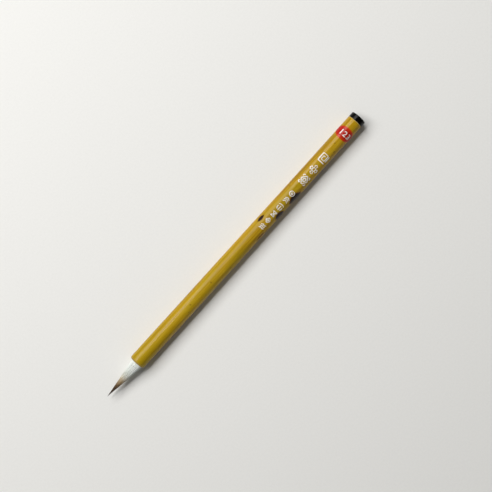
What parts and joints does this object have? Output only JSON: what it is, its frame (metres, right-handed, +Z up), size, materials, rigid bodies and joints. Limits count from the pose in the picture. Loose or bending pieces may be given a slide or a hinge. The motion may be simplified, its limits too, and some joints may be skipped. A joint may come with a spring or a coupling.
{
  "type": "calligraphy brush",
  "caption": "Small calligraphy brush with a bamboo barrel, a white tuft running to a dark point, a black end plug and a red oval label.",
  "frame": {"origin": "on the surface that the brush lies on, under the middle of its whole length", "axes": "+X along the barrel from the hair towards the end plug, +Z up, +Y to the left when looking along +X"},
  "size_m": [0.196, 0.009, 0.009],
  "materials": {
    "bamboo": "clear varnish over smoked bamboo",
    "plug": "gloss",
    "label": "gloss",
    "coat_hair": "fine straight hair",
    "core_hair": "fine straight hair",
    "under_hair": "fine straight hair",
    "thread": "hemp thread",
    "resin": "hard resin",
    "glue": "dry glue"
  },
  "bodies": {
    "handle": {"barrel": "bamboo", "end_plug": "plug", "plug_adhesive": "glue", "label": "label", "hair_root": "under_hair", "root_thread": "thread", "root_seal": "resin", "socket_adhesive": "glue"},
    "tuft": {"tip_hairs": "core_hair", "throat_hairs": "core_hair", "belly_hairs": "under_hair", "waist_hairs": "under_hair", "coat_hairs": "coat_hair"}
  },
  "joints": [
    {"name": "tuft_bend", "type": "hinge", "parent": "handle", "child": "tuft", "pos_m": [-0.0761, -0.00035, 0.0045], "axis": [0, 0, 1], "range_deg": [-45, 45], "stiffness_Nm_per_rad": 0.003}
  ]
}
